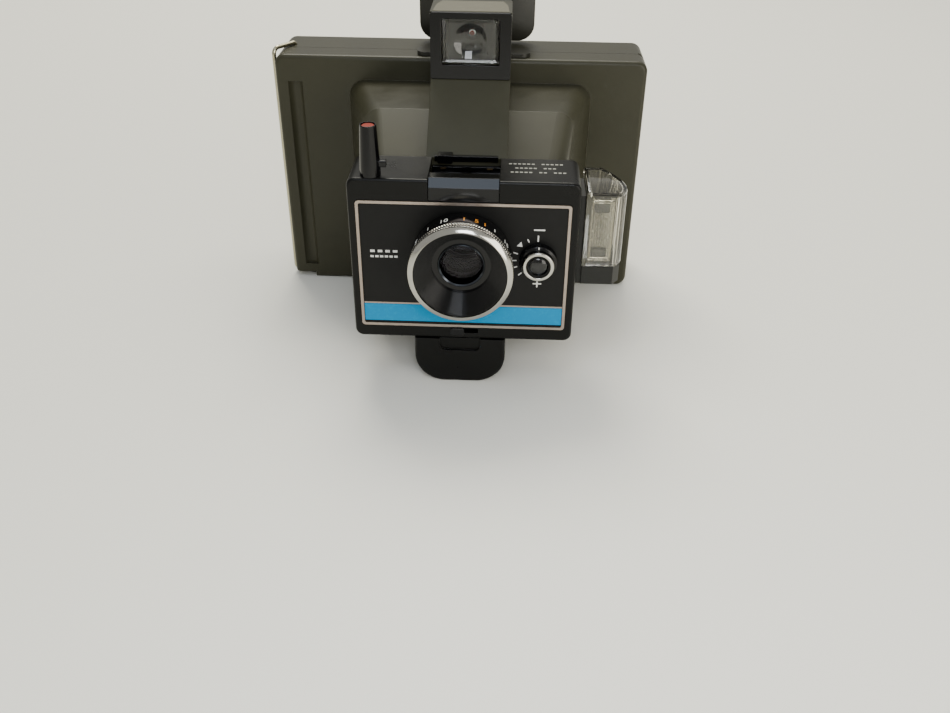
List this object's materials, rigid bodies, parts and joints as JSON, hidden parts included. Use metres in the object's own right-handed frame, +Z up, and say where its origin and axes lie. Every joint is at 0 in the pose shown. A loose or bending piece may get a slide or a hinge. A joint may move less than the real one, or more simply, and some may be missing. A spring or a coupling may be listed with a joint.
{
  "type": "instant camera",
  "caption": "Rigid pack-film instant camera with a large turning focus ring, exposure dial, flashcube socket, slide-up flash shield, hinged rear door and battery bay.",
  "frame": {"origin": "on the surface the camera stands on, straight below the lens axis, in the film plane", "axes": "+Z up, the lens looks along -Y, +X to the right of a viewer who faces the lens"},
  "size_m": [0.1803, 0.1488, 0.154],
  "materials": {
    "body_plastic": "fine moulded texture",
    "black_gloss": "glossy moulded",
    "black_satin": "satin moulded",
    "black_matte": "matte",
    "steel": "bright",
    "chrome": "polished and knurled",
    "bright_trim": "satin foil",
    "stripe": "printed, satin",
    "glass": "coated",
    "clear_plastic": "clear, slightly yellowed",
    "red_button": "glossy",
    "brass": "spring brass",
    "board": "laminate",
    "copper": "enamelled wire",
    "battery_wrap": "printed film",
    "dark_holder": "satin moulded"
  },
  "bodies": {
    "camera_body": {"battery_box": "black_matte", "battery_contacts": "brass", "battery_left": "battery_wrap", "battery_right": "battery_wrap", "body_shell": "body_plastic", "cell_tube": "black_satin", "cell_window": "glass", "circuit_board": "board", "cover_screws": "steel", "door_hinge_pin": "steel", "eyecup": "black_matte", "film_gate": "black_matte", "finder_eye_lens": "glass", "finder_front_lens": "glass", "finder_mask": "black_gloss", "finder_saddle": "black_matte", "flash_contacts": "brass", "flash_holder": "dark_holder", "flash_reflector": "bright_trim", "flash_socket": "black_gloss", "front_cover": "black_satin", "front_panel": "black_matte", "lens_barrel": "black_satin", "lens_spacer": "bright_trim", "middle_lens": "glass", "panel_frame": "bright_trim", "panel_stripe": "stripe", "photocell": "black_matte", "rear_lens": "glass", "rear_retainer": "bright_trim", "release_tower": "black_satin", "roller_frame": "steel", "shutter_magnet": "copper", "shutter_plate": "steel", "viewfinder_housing": "body_plastic"},
    "focus_ring": {"focus_collar": "black_satin", "grip_ring": "chrome", "front_lens": "glass", "lens_retainer": "bright_trim"},
    "exposure_control": {"exposure_dial": "black_satin", "dial_trim": "chrome"},
    "release": {"release_button": "red_button", "release_spring": "steel"},
    "release_arm": {"release_lever": "steel"},
    "blade_opening": {"opening_blade": "black_matte"},
    "blade_closing": {"closing_blade": "black_matte"},
    "selector": {"film_selector": "black_satin"},
    "cube_turret": {"flash_turret": "black_gloss"},
    "ejector": {"eject_lever": "black_satin"},
    "shield": {"flash_shield": "clear_plastic"},
    "back_door": {"rear_door": "body_plastic", "pressure_springs": "steel"},
    "bail": {"latch_bail": "steel"},
    "roller_a": {"front_roller": "steel"},
    "roller_b": {"rear_roller": "steel"},
    "battery_door": {"battery_cover": "black_satin", "battery_cover_pin": "steel"}
  },
  "joints": [
    {"name": "focus_turn", "type": "hinge", "parent": "camera_body", "child": "focus_ring", "pos_m": [0, -0.1154, 0.0635], "axis": [0, -1, 0], "range_deg": [0, 270]},
    {"name": "exposure_turn", "type": "hinge", "parent": "camera_body", "child": "exposure_control", "pos_m": [0.032, -0.11, 0.063], "axis": [0, -1, 0], "range_deg": [-60, 60]},
    {"name": "release_press", "type": "slide", "parent": "camera_body", "child": "release", "axis": [0, 0, -1], "range_m": [0, 0.004], "stiffness_N_per_m": 400, "springref_m": -0.002, "deforming": ["release_spring"]},
    {"name": "release_arm_turn", "type": "hinge", "parent": "camera_body", "child": "release_arm", "pos_m": [-0.0257, -0.082, 0.078], "axis": [0, -1, 0], "range_deg": [0, 20]},
    {"name": "opening_blade_swing", "type": "hinge", "parent": "camera_body", "child": "blade_opening", "pos_m": [-0.02, -0.0805, 0.0535], "axis": [0, -1, 0], "range_deg": [-38, 0]},
    {"name": "closing_blade_swing", "type": "hinge", "parent": "camera_body", "child": "blade_closing", "pos_m": [0.02, -0.0812, 0.0495], "axis": [0, -1, 0], "range_deg": [0, 38]},
    {"name": "film_speed_slide", "type": "slide", "parent": "camera_body", "child": "selector", "axis": [1, 0, 0], "range_m": [0, 0.007]},
    {"name": "cube_turn", "type": "hinge", "parent": "camera_body", "child": "cube_turret", "pos_m": [0.00045, -0.087, 0.0915], "axis": [0, 0, 1], "continuous": true},
    {"name": "eject_press", "type": "slide", "parent": "camera_body", "child": "ejector", "axis": [0, 0, -1], "range_m": [0, 0.002], "stiffness_N_per_m": 300, "springref_m": -0.002},
    {"name": "shield_lift", "type": "slide", "parent": "camera_body", "child": "shield", "axis": [0, 0, 1], "range_m": [0, 0.034]},
    {"name": "door_swing", "type": "hinge", "parent": "camera_body", "child": "back_door", "pos_m": [0.0804, 0.0074, 0.0598], "axis": [0, 0, -1], "range_deg": [0, 95]},
    {"name": "bail_swing", "type": "hinge", "parent": "back_door", "child": "bail", "pos_m": [-0.0883, 0.009, 0.0598], "axis": [0, 0, -1], "range_deg": [0, 90]},
    {"name": "front_roller_turn", "type": "hinge", "parent": "camera_body", "child": "roller_a", "pos_m": [-0.0856, 0.008, 0.0598], "axis": [0, 0, 1], "continuous": true},
    {"name": "rear_roller_turn", "type": "hinge", "parent": "camera_body", "child": "roller_b", "pos_m": [-0.0856, 0.0168, 0.0598], "axis": [0, 0, 1], "continuous": true},
    {"name": "battery_cover_swing", "type": "hinge", "parent": "camera_body", "child": "battery_door", "pos_m": [-0.001, -0.0478, 0.0126], "axis": [1, 0, 0], "range_deg": [0, 95]}
  ],
  "couplings": [
    {"joint": "release_arm_turn", "follows": "release_press", "rad_per_m": 87},
    {"joint": "rear_roller_turn", "follows": "front_roller_turn", "ratio": -1}
  ]
}
